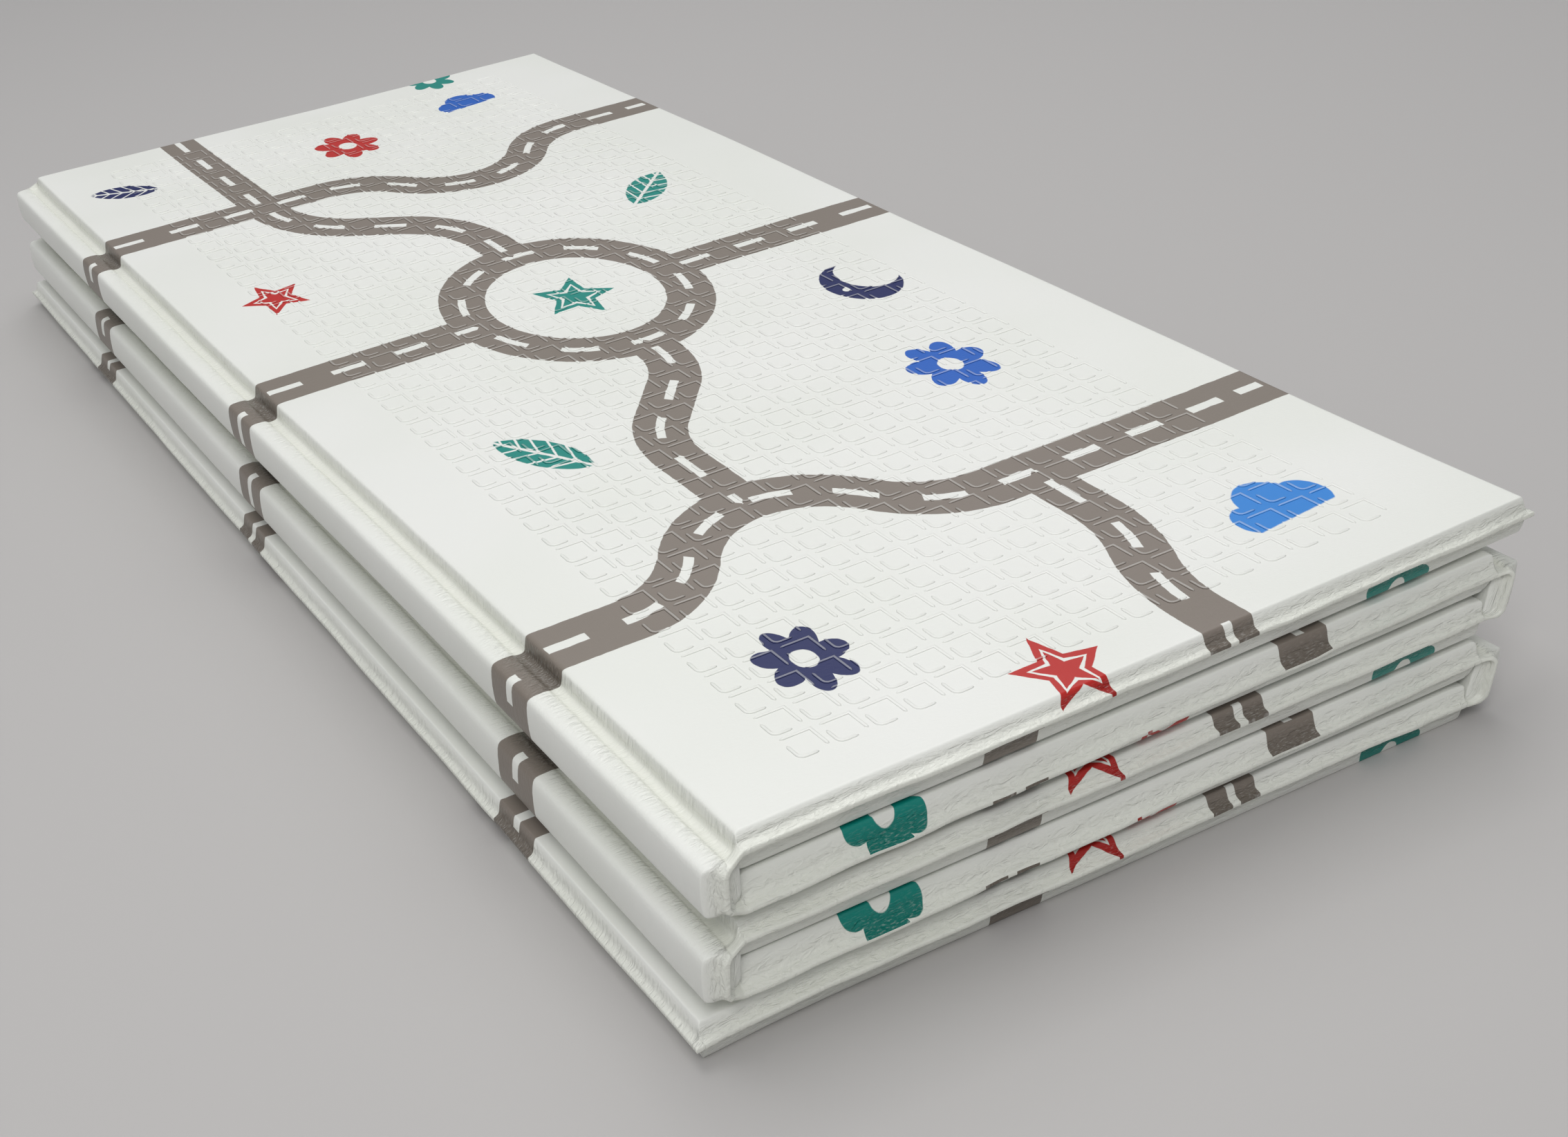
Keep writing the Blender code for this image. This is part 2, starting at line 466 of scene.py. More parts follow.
def mat_cage():
    mesh = bpy.data.meshes.new("mat_cage")
    mesh.from_pydata(cage.tolist(), [], faces)
    film_map = mesh.uv_layers.new(name="print")
    for face, side in zip(mesh.polygons, face_sides):
        for loop in face.loop_indices:
            vertex = mesh.loops[loop].vertex_index
            film_map.data[loop].uv = print_place(vertex, side)
    pressed = mesh.attributes.new("pressed", "FLOAT", "POINT")
    pressed.data.foreach_set("value", cage_press.astype(np.float32))
    rim_start = len(faces) - len(rim)
    for number in range(rim_start, len(faces)):
        mesh.polygons[number].material_index = 1
    mesh.shade_smooth()
    return mesh


def plain_mesh(thing, name):
    """The evaluated object as a mesh of its own, with its modifiers removed."""
    graph = bpy.context.evaluated_depsgraph_get()
    mesh = bpy.data.meshes.new_from_object(thing.evaluated_get(graph))
    mesh.name = name
    thing.modifiers.clear()
    thing.data = mesh
    return mesh


def show(thing):
    bpy.context.scene.collection.objects.link(thing)
    return thing


mat = show(bpy.data.objects.new("foam_mat", mat_cage()))
rounding = mat.modifiers.new("rounding", "SUBSURF")
rounding.levels = 1
rounding.render_levels = 1
plain_mesh(mat, "foam_mat")
print("mat:", len(mat.data.vertices), "points,", 2 * len(mat.data.polygons), "triangles")

# %% [markdown]
# ## Wavering lips and soft dents
# No pressed foam edge is straight. The lip is thin and springs about, and the
# broad faces dip a little where the foam is softer. Smooth noise moves the points:
# a broad one lifts everything by a fraction of a millimetre, and a finer one works
# only where the film is pressed. Moves upward fade out at the underside, which
# lies flat.

# %% Move the points
BROAD_DENT = 0.00035
LIP_WAVER = 0.00140
LIP_LIFT = 0.6              # the lip's rise, as a share of its waver along
GROUND_FADE = 0.004         # height from which the lip may rise and fall


def broad_dent(x, y, z):
    """Height added to the whole stack at a place."""
    lift = noise.noise((x * 17.0, y * 13.0, 4.0))
    return BROAD_DENT * lift * held(z / STACK_HEIGHT)


def lip_waver(x, y, z, press):
    """Small move along and up, where the film is pressed.

    Each noise reads the place times its own fineness, in steps for each metre.
    """
    weight = LIP_WAVER * press * press
    level = z * 60.0
    along = noise.noise((x * 34.0, y * 21.0, level))
    fine = noise.noise((x * 110.0, y * 75.0, level + 9.0))
    up = noise.noise((x * 40.0 + 5.0, y * 26.0, level + 4.0))
    lifted = LIP_LIFT * up * held(z / GROUND_FADE)
    return weight * (along + 0.4 * fine), weight * lifted


def unsettle(thing):
    """Move every point of the mat by the two noises."""
    mesh = thing.data
    presses = np.empty(len(mesh.vertices), np.float32)
    mesh.attributes["pressed"].data.foreach_get("value", presses)
    for vertex, press in zip(mesh.vertices, presses):
        x, y, z = vertex.co
        along, up = lip_waver(x, y, z, float(press))
        vertex.co.y = y + along
        vertex.co.x = x + 0.4 * along
        vertex.co.z = z + up + broad_dent(x, y, z)
    mesh.update()


unsettle(mat)

# %% [markdown]
# ## Small helpers for nodes
# A node tree is easier to read when each step is one line, so these helpers make
# a node, set or wire its inputs in order, and hand back its output. The embossed
# grid and all the finishes use them.

# %% Node helpers
def feed(tree, socket, value):
    """Set a socket to a plain value, or wire another socket to it."""
    if isinstance(value, bpy.types.NodeSocket):
        tree.links.new(value, socket)
    else:
        socket.default_value = value


def make(tree, kind, *values, **settings):
    """A node with its settings, and its inputs fed in order."""
    made = tree.nodes.new(kind)
    for name, value in settings.items():
        setattr(made, name, value)
    for number, value in enumerate(values):
        if value is not None:
            feed(tree, made.inputs[number], value)
    return made


def calc(tree, operation, *values):
    """A Math node's result."""
    return make(tree, "ShaderNodeMath", *values, operation=operation).outputs[0]


def aim(tree, operation, *values):
    """A Vector Math node's result."""
    made = make(tree, "ShaderNodeVectorMath", *values, operation=operation)
    number = operation in ("DOT_PRODUCT", "LENGTH", "DISTANCE")
    return made.outputs["Value" if number else "Vector"]


def scaled(tree, vector, factor):
    """A vector times a number."""
    made = make(tree, "ShaderNodeVectorMath", vector, operation="SCALE")
    feed(tree, made.inputs["Scale"], factor)
    return made.outputs["Vector"]


def spun(tree, vector, angle):
    """A vector turned about the print's own normal."""
    made = make(tree, "ShaderNodeVectorRotate", vector, rotation_type="Z_AXIS")
    feed(tree, made.inputs["Angle"], angle)
    return made.outputs["Vector"]


def split(tree, vector):
    """A vector's X, Y and Z."""
    return make(tree, "ShaderNodeSeparateXYZ", vector).outputs


def ramp(tree, value, start, end, low=0.0, high=1.0):
    """A value eased from low at start to high at end."""
    made = make(tree, "ShaderNodeMapRange", value, start, end, low, high,
                interpolation_type="SMOOTHSTEP")
    return made.outputs["Result"]


MIX_COLOURS = (6, 7)        # a Mix node's two colour inputs
MIX_RESULT = 2              # and its colour output


def blend(tree, share, first, second, way="MIX"):
    """A mix of two colours."""
    made = make(tree, "ShaderNodeMix", data_type="RGBA", blend_type=way)
    feed(tree, made.inputs["Factor"], share)
    for number, colour in zip(MIX_COLOURS, (first, second)):
        feed(tree, made.inputs[number], colour)
    return made.outputs[MIX_RESULT]


def shader_group(name, inputs, outputs):
    """A node group with named inputs and outputs."""
    group = bpy.data.node_groups.new(name, "ShaderNodeTree")
    kinds = {"vector": "NodeSocketVector", "value": "NodeSocketFloat",
             "colour": "NodeSocketColor"}
    for title, kind in inputs:
        group.interface.new_socket(title, in_out="INPUT", socket_type=kinds[kind])
    for title, kind in outputs:
        group.interface.new_socket(title, in_out="OUTPUT", socket_type=kinds[kind])
    given = group.nodes.new("NodeGroupInput").outputs
    result = group.nodes.new("NodeGroupOutput").inputs
    return group, given, result


def use(tree, group, **values):
    """Place a group in a tree; underscores in a name stand for spaces."""
    made = tree.nodes.new("ShaderNodeGroup")
    made.node_tree = group
    for name, value in values.items():
        feed(tree, made.inputs[name.replace("_", " ")], value)
    return made.outputs


def ink(red, green, blue):
    """A colour given from 0 to 255, as light."""
    light = []
    for level in (red, green, blue):
        share = level / 255.0
        bright = ((share + 0.055) / 1.055) ** 2.4
        light.append(share / 12.92 if share <= 0.04045 else bright)
    return (*light, 1.0)


# %% [markdown]
# ## The pressed grid of brackets
# The top panel is embossed with small squares, each left open at two corners: a
# sharp bracket and a round one that face each other. They are ridges,
# so they are real geometry, and there are over eight hundred squares. One square
# is drawn from its two lines, and Geometry Nodes set it out on a grid.

# %% One embossed square
RIDGE_WIDTH = 0.00195
RIDGE_HEIGHT = 0.00050
RIDGE_FOOT = 0.00012        # depth of a ridge's foot under the film
SQUARE = (0.0135, 0.0155)
# across the ridge in halves of its width, and up in its height
RIDGE_SECTION = ((1.0, None), (0.58, 0.66), (0.0, 1.0), (-0.58, 0.66), (-1.0, None))
# The finish reads these to paint a highlight on each crest and a shadow at each foot.
RAISED = (0.2, 0.7, 1.0, 0.7, 0.2)  # how far up the ridge each of those points is


def corner_points(x, y, radius):
    """A round corner at the square's near left, as three more points."""
    return [
        (x + radius * (1.0 - math.cos(angle)), y + radius * (1.0 - math.sin(angle)))
        for angle in (0.0, math.pi / 6, math.pi / 3, math.pi / 2)
    ]


def bracket_lines():
    """The sharp bracket and the round bracket of one square."""
    right, far = SQUARE[0] / 2.0, SQUARE[1] / 2.0
    tip = 0.0012
    sharp = [(-right, far), (tip - right, far), (right, far)]
    sharp += [(right, 0.0020 + tip - far), (right, 0.0020 - far)]
    round_end = corner_points(-right, -far, 0.0026)
    up = [(-right, 0.0100 - far), (-right, 0.0100 - tip - far)]
    out = [(0.0080 - tip - right, -far), (0.0080 - right, -far)]
    return sharp, up + round_end + out


def ridge_rings(line):
    """Rings of points along a line, mitred at its corners, thin at its tips."""
    points = np.array(line)
    ways = np.diff(points, axis=0)
    ways /= np.linalg.norm(ways, axis=1)[:, None]
    rings = []
    for n, (x, y) in enumerate(points):
        before, after = ways[max(n - 1, 0)], ways[min(n, len(ways) - 1)]
        way = before + after
        way /= np.linalg.norm(way)
        scale = 1.0 / max(float(way @ after), 0.5)
        if n in (0, len(points) - 1):
            scale = 0.45
        side = np.array((-way[1], way[0])) * RIDGE_WIDTH / 2.0 * scale
        top = RIDGE_HEIGHT * min(scale, 1.0)
        for across, up in RIDGE_SECTION:
            z = -RIDGE_FOOT if up is None else up * top
            rings.append((x + side[0] * across, y + side[1] * across, z))
    return rings


def ridge_faces(rings, first):
    """Quads along a ridge, and a cap at each end."""
    size = len(RIDGE_SECTION)
    count_rings = rings // size
    made = []
    for r in range(count_rings - 1):
        for c in range(size):
            a, b = first + r * size + c, first + r * size + (c + 1) % size
            made.append((a, b, b + size, a + size))
    last = first + (count_rings - 1) * size
    made.append(tuple(range(first + size - 1, first - 1, -1)))
    made.append(tuple(range(last, last + size)))
    return made


def square_mesh():
    points, made = [], []
    for line in bracket_lines():
        rings = ridge_rings(line)
        made += ridge_faces(len(rings), len(points))
        points += rings
    mesh = bpy.data.meshes.new("embossed_square")
    mesh.from_pydata(points, [], made)
    raised = mesh.attributes.new("raised", "FLOAT", "POINT")
    raised.data.foreach_set("value", RAISED * (len(points) // len(RAISED)))
    return mesh


square = show(bpy.data.objects.new("embossed_square", square_mesh()))
print("faces in a square:", len(square.data.polygons))

# %% The grid of squares, with Geometry Nodes
COLUMNS, LINES = 17, 48
GRID_PITCH = (0.0176, 0.0195)
GRID_START = (0.0498, 0.0395)   # middle of the first square, from the first wall


def grid_tree():
    tree = bpy.data.node_groups.new("embossed_grid", "GeometryNodeTree")
    for kind, name in (
        ("NodeSocketGeometry", "Geometry"),
        ("NodeSocketObject", "Square"),
        ("NodeSocketInt", "Columns"),
        ("NodeSocketInt", "Lines"),
        ("NodeSocketFloat", "Pitch across"),
        ("NodeSocketFloat", "Pitch along"),
        ("NodeSocketMaterial", "Film"),
    ):
        tree.interface.new_socket(name, in_out="INPUT", socket_type=kind)
    tree.interface.new_socket(
        "Geometry", in_out="OUTPUT", socket_type="NodeSocketGeometry")
    given = tree.nodes.new("NodeGroupInput").outputs
    result = tree.nodes.new("NodeGroupOutput").inputs["Geometry"]
    grid = make(tree, "GeometryNodeMeshGrid")
    for number, pitch, axis in (
        ("Columns", "Pitch across", "X"), ("Lines", "Pitch along", "Y"),
    ):
        gaps = calc(tree, "SUBTRACT", given[number], 1.0)
        size = calc(tree, "MULTIPLY", gaps, given[pitch])
        feed(tree, grid.inputs["Size " + axis], size)
        feed(tree, grid.inputs["Vertices " + axis], given[number])
    shape = make(tree, "GeometryNodeObjectInfo")
    feed(tree, shape.inputs["Object"], given["Square"])
    place = make(tree, "GeometryNodeInstanceOnPoints", grid.outputs["Mesh"])
    feed(tree, place.inputs["Instance"], shape.outputs["Geometry"])
    real = make(tree, "GeometryNodeRealizeInstances", place.outputs["Instances"])
    film = make(tree, "GeometryNodeSetMaterial", real.outputs["Geometry"])
    feed(tree, film.inputs["Material"], given["Film"])
    feed(tree, result, film.outputs["Geometry"])
    return tree


def set_inputs(modifier, values):
    """Give a Geometry Nodes modifier its inputs, by each socket's identifier."""
    for item in modifier.node_group.interface.items_tree:
        if item.in_out == "INPUT" and item.name in values:
            modifier[item.identifier] = values[item.name]


film_finish = bpy.data.materials.new("foam_film")
core_finish = bpy.data.materials.new("cut_foam")
emboss = show(bpy.data.objects.new("embossed_grid", bpy.data.meshes.new("seed")))
setter = emboss.modifiers.new("embossed_grid", "NODES")
setter.node_group = grid_tree()
set_inputs(setter, {
    "Square": square,
    "Columns": COLUMNS,
    "Lines": LINES,
    "Pitch across": GRID_PITCH[0],
    "Pitch along": GRID_PITCH[1],
    "Film": film_finish,
})
plain_mesh(emboss, "embossed_grid")
bpy.data.objects.remove(square)
print("embossed grid:", len(emboss.data.polygons), "faces")

# %% [markdown]
# ## Laying the grid on the panel
# The grid is made flat, round its own middle. Its points are now moved to the top
# panel with the same rule that settles the mat, so the ridges follow its tilt and
# its dents, and the print runs on over them.

# %% Settle the grid and map the print on it
PANEL_TOP = layer_height(0) + HALF


def top_panel_run(x):
    """The print's distance at a place across the top panel."""
    flat = [(row[1][0], run) for row, run in zip(section, print_runs[0]) if row[3] == 0.0]
    flat.sort()
    return np.interp(x, [place for place, run in flat], [run for place, run in flat])


def lay_grid(thing):
    mesh = thing.data
    middle_x = GRID_START[0] + (COLUMNS - 1) * GRID_PITCH[0] / 2.0
    middle_y = GRID_START[1] + (LINES - 1) * GRID_PITCH[1] / 2.0
    runs = []
    for vertex in mesh.vertices:
        x, y = vertex.co.x + middle_x, vertex.co.y + middle_y
        runs.append((x, y))
        place = np.array(settled(x, y, PANEL_TOP, 0.0, 0.0)) - CENTRE
        place[2] += broad_dent(*place) + vertex.co.z
        vertex.co = place
    across = top_panel_run([x for x, y in runs])
    film_map = mesh.uv_layers.new(name="print")
    for loop in mesh.loops:
        number = loop.vertex_index
        film_map.data[loop.index].uv = (across[number], runs[number][1])
    mesh.shade_smooth()
    mesh.update()


lay_grid(emboss)

# %% [markdown]
# ## The printed roads
# The film is printed with plain grey roads and white dashes, and with small
# figures between them. A picture file could hold it, but a few rules draw it at
# any sharpness: each road is a chain of straight and round pieces, and each piece
# gives the distance to its middle line and the run along it. The distance makes
# the grey band, and the run makes the dashes.

# %% Straight and round road pieces
ROAD_HALF = 0.0125
DASH_HALF = 0.0021
DASH_PITCH = 0.0365
DASH_SHARE = 0.52
INK_EDGE = 0.00018          # softness of a printed edge
END_PENALTY = 60.0          # how fast a piece's band ends beyond its own ends


def beyond_end(tree, outside, aside):
    """The gap to a piece's middle line, which grows fast beyond its ends."""
    past = calc(tree, "MAXIMUM", outside, 0.0)
    return calc(tree, "MULTIPLY_ADD", past, END_PENALTY, aside)


def straight_group():
    """The gap to a straight piece, and the run along it."""
    tree, given, result = shader_group(
        "straight_road",
        [("Place", "vector"), ("Middle", "vector"), ("Course", "vector"),
         ("Half length", "value"), ("Run", "value")],
        [("Gap", "value"), ("Run", "value")])
    away = aim(tree, "SUBTRACT", given["Place"], given["Middle"])
    along = aim(tree, "DOT_PRODUCT", away, given["Course"])
    aside = aim(tree, "LENGTH", aim(tree, "CROSS_PRODUCT", away, given["Course"]))
    outside = calc(tree, "SUBTRACT", calc(tree, "ABSOLUTE", along), given["Half length"])
    feed(tree, result["Gap"], beyond_end(tree, outside, aside))
    feed(tree, result["Run"], calc(tree, "ADD", along, given["Run"]))
    return tree


def bend_group():
    """The gap to a round piece, and the run along it."""
    tree, given, result = shader_group(
        "road_bend",
        [("Place", "vector"), ("Centre", "vector"), ("Radius", "value"),
         ("Middle", "value"), ("Half length", "value"), ("Way", "value"), ("Run", "value")],
        [("Gap", "value"), ("Run", "value")])
    away = aim(tree, "SUBTRACT", given["Place"], given["Centre"])
    parts = split(tree, spun(tree, away, given["Middle"]))
    angle = calc(tree, "ARCTAN2", parts["Y"], parts["X"])
    swept = calc(tree, "MULTIPLY", angle, given["Radius"])
    outside = calc(tree, "SUBTRACT", calc(tree, "ABSOLUTE", swept), given["Half length"])
    reach = calc(tree, "SUBTRACT", aim(tree, "LENGTH", away), given["Radius"])
    aside = calc(tree, "ABSOLUTE", reach)
    feed(tree, result["Gap"], beyond_end(tree, outside, aside))
    feed(tree, result["Run"], calc(tree, "MULTIPLY_ADD", swept, given["Way"], given["Run"]))
    return tree


def nearest(tree, first, second):
    """The nearer of two pieces: its gap and its run."""
    nearer = calc(tree, "LESS_THAN", second["Gap"], first["Gap"])
    more = calc(tree, "SUBTRACT", second["Run"], first["Run"])
    return {
        "Gap": calc(tree, "MINIMUM", first["Gap"], second["Gap"]),
        "Run": calc(tree, "MULTIPLY_ADD", nearer, more, first["Run"]),
    }


def painted(tree, piece):
    """The grey band and its white dashes, from the gap and the run."""
    gap = piece["Gap"]
    band = ramp(tree, gap, ROAD_HALF + INK_EDGE, ROAD_HALF - INK_EDGE)
    line = ramp(tree, gap, DASH_HALF + INK_EDGE, DASH_HALF - INK_EDGE)
    turn = calc(tree, "FRACT", calc(tree, "DIVIDE", piece["Run"], DASH_PITCH))
    from_middle = calc(tree, "ABSOLUTE", calc(tree, "SUBTRACT", turn, 0.5))
    edge = INK_EDGE / DASH_PITCH
    dash = ramp(tree, from_middle, DASH_SHARE / 2 + edge, DASH_SHARE / 2 - edge)
    return band, calc(tree, "MULTIPLY", line, dash)


STRAIGHT, BEND = straight_group(), bend_group()

# %% [markdown]
# ## Laying out the roads
# A road is walked from its start: so far straight on, then so far round. Angles
# are in degrees, anticlockwise, and a turn to the right has a negative one. The
# layout is one picture, 0.40 across and 0.714 along before the film is stretched.

# %% The road plan
PICTURE_LENGTH = 0.714      # along the mat, on the film before it is stretched
STRETCH = MAT_LENGTH / PICTURE_LENGTH
RING = (0.215, 0.365, 0.060)
ROADS = (
    # start, course, then a straight's length or a turn's (angle, radius)
    ((-0.05, 0.118), 0.0, (0.119, (50.0, 0.061), (-100.0, 0.061), (50.0, 0.061), 0.195)),
    ((0.215, 0.305), -90.0, (0.010, (-46.0, 0.046), 0.037, (46.0, 0.046), 0.042)),
    ((-0.05, 0.365), 0.0, (0.205,)),
    ((0.275, 0.365), 0.0, (0.175,)),
    ((0.215, 0.425), 90.0, (0.022, (58.0, 0.062), 0.030, (-58.0, 0.062), 0.160)),
    ((-0.05, 0.575), 0.0, (0.221, (-52.0, 0.058), (104.0, 0.058), (-52.0, 0.058), 0.110)),
    ((0.278, 0.118), -90.0, (0.030, (-34.0, 0.066), (34.0, 0.066), 0.030)),
)


def walk(start, course, moves):
    """Straight and round pieces of a road, each with the run at its start."""
    place = np.array(start)
    heading = math.radians(course)
    run = 0.0
    pieces = []
    for move in moves:
        if isinstance(move, float):
            way = np.array((math.cos(heading), math.sin(heading)))
            half = move / 2.0
            pieces.append(("straight", place + way * half, way, half, run + half))
            place = place + way * move
            run += move
            continue
        sweep, radius = math.radians(move[0]), move[1]
        hand = math.copysign(1.0, sweep)
        to_centre = heading + hand * math.pi / 2.0
        centre = place + radius * np.array((math.cos(to_centre), math.sin(to_centre)))
        middle = to_centre + math.pi + sweep / 2.0
        length = abs(sweep) * radius
        pieces.append(("bend", centre, radius, middle, length / 2.0, hand,
                       run + length / 2.0))
        heading += sweep
        end = heading - hand * math.pi / 2.0
        place = centre + radius * np.array((math.cos(end), math.sin(end)))
        run += length
    return pieces


def road_pieces():
    pieces = [piece for road in ROADS for piece in walk(*road)]
    x, y, radius = RING
    pieces.append(("bend", np.array((x, y)), radius, 0.0, math.pi * radius, 1.0, 0.0))
    return pieces


print("road pieces:", len(road_pieces()))


def flat_vector(pair):
    return (float(pair[0]), float(pair[1]), 0.0)


def lay_road(tree, place, piece):
    """One road piece's group in the print."""
    if piece[0] == "straight":
        kind, middle, course, half, run = piece
        return use(tree, STRAIGHT, Place=place, Middle=flat_vector(middle),
                   Course=flat_vector(course), Half_length=half, Run=run)
    kind, centre, radius, middle, half, hand, run = piece
    back = -math.remainder(middle, 2.0 * math.pi)
    return use(tree, BEND, Place=place, Centre=flat_vector(centre), Radius=radius,
               Middle=back, Half_length=half, Way=hand, Run=run)


# %% [markdown]
# ## The small figures
# Stars, daisies, leaves, clouds and a moon are plain shapes that a rule can draw
# round their own middle: how far out the edge lies at each angle, or where discs
# overlap. Most have a second mask for pale lines, such as a leaf's veins.

# %% One rule for each figure
def figure_group(name, draw):
    """A group that draws one figure, from its place on the print."""
    tree, given, result = shader_group(
        name,
        [("Place", "vector"), ("Centre", "vector"), ("Fineness", "value"),
         ("Turn", "value")],
        [("Shape", "value"), ("Lines", "value")])
    away = aim(tree, "SUBTRACT", given["Place"], given["Centre"])
    turned = spun(tree, away, given["Turn"])
    shape, lines = draw(tree, scaled(tree, turned, given["Fineness"]))
    feed(tree, result["Shape"], shape)
    feed(tree, result["Lines"], calc(tree, "MULTIPLY", shape, lines))
    return tree


FIGURE_EDGE = 0.012         # softness, as a share of the figure's size


def inside(tree, distance, reach):
    """1 where a distance is less than the reach."""
    shortfall = calc(tree, "SUBTRACT", reach, distance)
    return ramp(tree, shortfall, -FIGURE_EDGE, FIGURE_EDGE)


def polar(tree, place):
    """Angle and distance from the figure's middle."""
    parts = split(tree, place)
    return calc(tree, "ARCTAN2", parts["Y"], parts["X"]), aim(tree, "LENGTH", place)


def star(tree, place):
    """Five points, with a smaller star drawn inside."""
    angle, away = polar(tree, place)
    fifth = 2.0 * math.pi / 5.0
    inner = 0.47
    folded = calc(tree, "ABSOLUTE", calc(
        tree, "SUBTRACT", calc(tree, "FLOORED_MODULO", angle, fifth), fifth / 2.0))
    rest = calc(tree, "SINE", calc(tree, "SUBTRACT", fifth / 2.0, folded))
    slope = calc(tree, "MULTIPLY", calc(tree, "SINE", folded), inner)
    reach = calc(tree, "DIVIDE", inner * math.sin(fifth / 2.0),
                 calc(tree, "ADD", rest, slope))
    small = calc(tree, "MULTIPLY", reach, 0.62)
    from_line = calc(tree, "ABSOLUTE", calc(tree, "SUBTRACT", away, small))
    return inside(tree, away, reach), inside(tree, from_line, 0.045)


def daisy(tree, place):
    """Seven petals round a pale middle."""
    angle, away = polar(tree, place)
    wave = calc(tree, "ABSOLUTE", calc(tree, "COSINE", calc(tree, "MULTIPLY", angle, 3.5)))
    reach = calc(tree, "MULTIPLY_ADD", wave, 0.38, 0.62)
    return inside(tree, away, reach), inside(tree, away, 0.27)


def leaf(tree, place):
    """Two arcs that meet at both tips, with a midrib and side veins."""
    bow, radius = 0.95, 1.36
    parts = split(tree, place)
    aside = calc(tree, "ABSOLUTE", parts["X"])
    half = make(tree, "ShaderNodeCombineXYZ", aside, parts["Y"], 0.0).outputs[0]
    out = aim(tree, "DISTANCE", half, (-bow, 0.0, 0.0))
    shape = inside(tree, out, radius)
    climb = calc(tree, "MULTIPLY_ADD", aside, -0.9, parts["Y"])
    wave = calc(tree, "PINGPONG", calc(tree, "ADD", climb, 4.0), 0.17)
    veins = calc(tree, "MAXIMUM", inside(tree, aside, 0.035), inside(tree, wave, 0.028))
    return shape, veins


def cloud(tree, place):
    """Three round puffs on a flat foot."""
    parts = split(tree, place)
    shape = 0.0
    for x, y, radius in ((0.02, 0.10, 0.54), (-0.58, -0.06, 0.34), (0.56, -0.03, 0.38)):
        puff = inside(tree, aim(tree, "DISTANCE", place, (x, y, 0.0)), radius)
        shape = calc(tree, "MAXIMUM", shape, puff)
    foot = ramp(tree, parts["Y"], -0.33, -0.30)
    return calc(tree, "MULTIPLY", shape, foot), 0.0


def moon(tree, place):
    """A disc with a bite out of it."""
    away = aim(tree, "LENGTH", place)
    bite = aim(tree, "LENGTH", aim(tree, "ADD", place, (-0.45, -0.12, 0.0)))
    outer = inside(tree, away, 0.95)
    cut = calc(tree, "SUBTRACT", 1.0, inside(tree, bite, 0.74))
    dots = aim(tree, "LENGTH", aim(tree, "ADD", place, (0.60, -0.05, 0.0)))
    return calc(tree, "MULTIPLY", outer, cut), inside(tree, dots, 0.09)


RULES = {rule.__name__: figure_group(rule.__name__, rule)
         for rule in (star, daisy, leaf, cloud, moon)}

TEAL = ink(0, 134, 124)
BLUE = ink(24, 94, 188)
NAVY = ink(14, 28, 88)
RED = ink(186, 34, 28)
SKY = ink(48, 132, 214)
FIGURES = (
    # rule, across, along, size, turn in degrees, ink
    ("star", 0.186, 0.013, 0.021, 12.0, RED),
    ("cloud", 0.338, 0.048, 0.028, 4.0, SKY),
    ("daisy", 0.112, 0.066, 0.020, 0.0, NAVY),
    ("leaf", 0.112, 0.240, 0.027, 34.0, TEAL),
    ("daisy", 0.318, 0.205, 0.022, 10.0, BLUE),
    ("star", 0.215, 0.365, 0.023, -8.0, TEAL),
    ("moon", 0.345, 0.295, 0.022, 20.0, NAVY),
    ("leaf", 0.330, 0.458, 0.027, -52.0, TEAL),
    ("star", 0.082, 0.458, 0.020, 30.0, RED),
    ("daisy", 0.222, 0.634, 0.022, 0.0, RED),
    ("leaf", 0.070, 0.652, 0.024, 70.0, NAVY),
    ("cloud", 0.325, 0.655, 0.024, 6.0, BLUE),
    ("daisy", 0.328, 0.709, 0.018, 8.0, TEAL),
)


# %% [markdown]
# ## The whole print
# The picture repeats across the mat from fold to fold. The film was stretched
# along the mat when it was welded on, so places along it are squeezed back first.
# A faint wobble keeps the printed edges from looking ruled.

# %% Put the print together
FILM = ink(233, 234, 230)
ROAD_INK = ink(130, 121, 113)
WOBBLE = 0.0009             # of a printed edge, in metres
WOBBLE_SCALE = 160.0


def print_group():
    tree, given, result = shader_group(
        "play_print", [("Place", "vector")], [("Color", "colour"), ("Ink", "value")])
    parts = split(tree, given["Place"])
    across = calc(tree, "FLOORED_MODULO", parts["X"], PRINT_REPEAT)
    along = calc(tree, "DIVIDE", parts["Y"], STRETCH)
    flat = make(tree, "ShaderNodeCombineXYZ", across, along, 0.0).outputs[0]
    wobble = make(tree, "ShaderNodeTexNoise", given["Place"])
    wobble.inputs["Scale"].default_value = WOBBLE_SCALE
    off = aim(tree, "SUBTRACT", wobble.outputs["Color"], (0.5, 0.5, 0.5))
    moved = aim(tree, "ADD", flat, scaled(tree, off, WOBBLE))
    place = aim(tree, "MULTIPLY", moved, (1.0, 1.0, 0.0))
    first, *others = [lay_road(tree, place, piece) for piece in road_pieces()]
    road = first
    for other in others:
        road = nearest(tree, road, other)
    band, dash = painted(tree, road)
    colour = blend(tree, band, FILM, ROAD_INK)
    colour = blend(tree, dash, colour, FILM)
    inked = calc(tree, "SUBTRACT", band, dash)
    for rule, x, y, size, turn, tone in FIGURES:
        drawn = use(tree, RULES[rule], Place=place, Centre=(x, y, 0.0),
                    Fineness=1.0 / size, Turn=math.radians(-turn))
        shown = calc(tree, "SUBTRACT", drawn["Shape"], drawn["Lines"])
        colour = blend(tree, shown, colour, tone)
        inked = calc(tree, "MAXIMUM", inked, shown)
    feed(tree, result["Color"], colour)
    feed(tree, result["Ink"], inked)
    return tree


PRINT = print_group()
